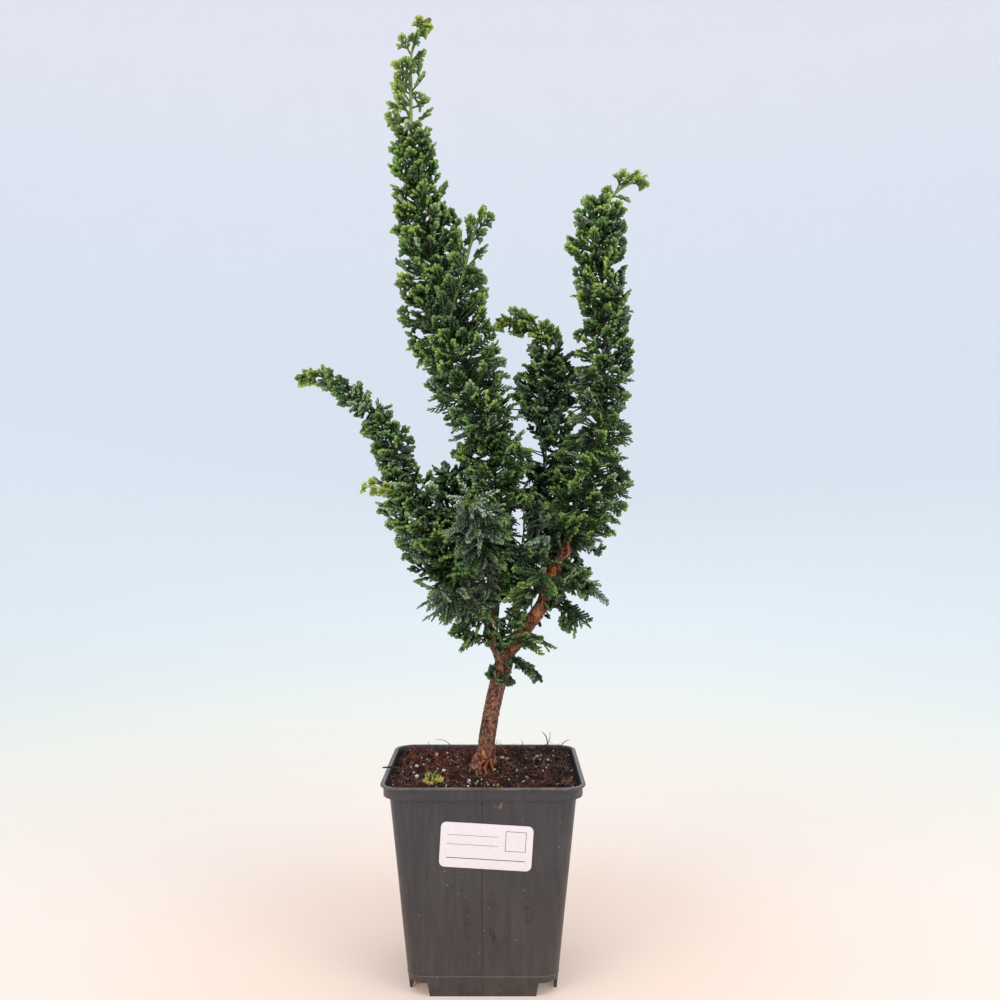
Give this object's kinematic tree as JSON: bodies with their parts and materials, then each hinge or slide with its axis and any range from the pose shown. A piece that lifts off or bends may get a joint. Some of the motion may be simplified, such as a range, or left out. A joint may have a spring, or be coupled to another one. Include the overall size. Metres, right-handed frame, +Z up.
{
  "type": "potted hinoki cypress bonsai",
  "caption": "Young dwarf hinoki cypress bonsai with a slim leaning trunk and upswept leafy limbs, planted in a square grey nursery pot with a plain front label.",
  "frame": {"origin": "middle of the pot's underside, on the plane that the pot stands on", "axes": "+Z up along the tree, -Y towards the viewer's side with the label, +X to the right of the label"},
  "size_m": [0.1995, 0.1193, 0.541],
  "materials": {
    "grey_plastic": "satin",
    "paper_label": "satin",
    "peat_and_bark": "matte",
    "bark": "matte",
    "foliage_deep": "satin",
    "foliage_mid": "satin",
    "foliage_fresh": "satin",
    "foliage_yellow": "satin",
    "foliage_silver": "satin"
  },
  "bodies": {
    "root": {"pot": "grey_plastic", "label": "paper_label", "soil": "peat_and_bark", "trunk": "bark", "leader_side_shoot": "foliage_mid", "leader": "foliage_mid", "leader_tip": "foliage_fresh", "left_tuft": "foliage_yellow", "left_limb": "foliage_mid", "right_limb": "foliage_mid", "right_limb_tip": "foliage_fresh", "middle_limb": "foliage_deep", "middle_limb_tip": "foliage_fresh", "silver_spray": "foliage_silver", "front_left_spray": "foliage_silver", "front_right_spray": "foliage_fresh", "heart_spray": "foliage_deep", "back_left_spray": "foliage_deep", "back_middle_spray": "foliage_deep", "back_right_spray": "foliage_deep", "left_inner_spray": "foliage_deep", "fork_spray": "foliage_mid", "right_skirt_spray": "foliage_deep", "right_low_spray": "foliage_deep", "low_left_spray": "foliage_mid", "low_right_spray": "foliage_silver", "trunk_sprig_left": "foliage_mid", "trunk_sprig_middle": "foliage_mid", "trunk_sprig_right": "foliage_deep"}
  },
  "joints": []
}
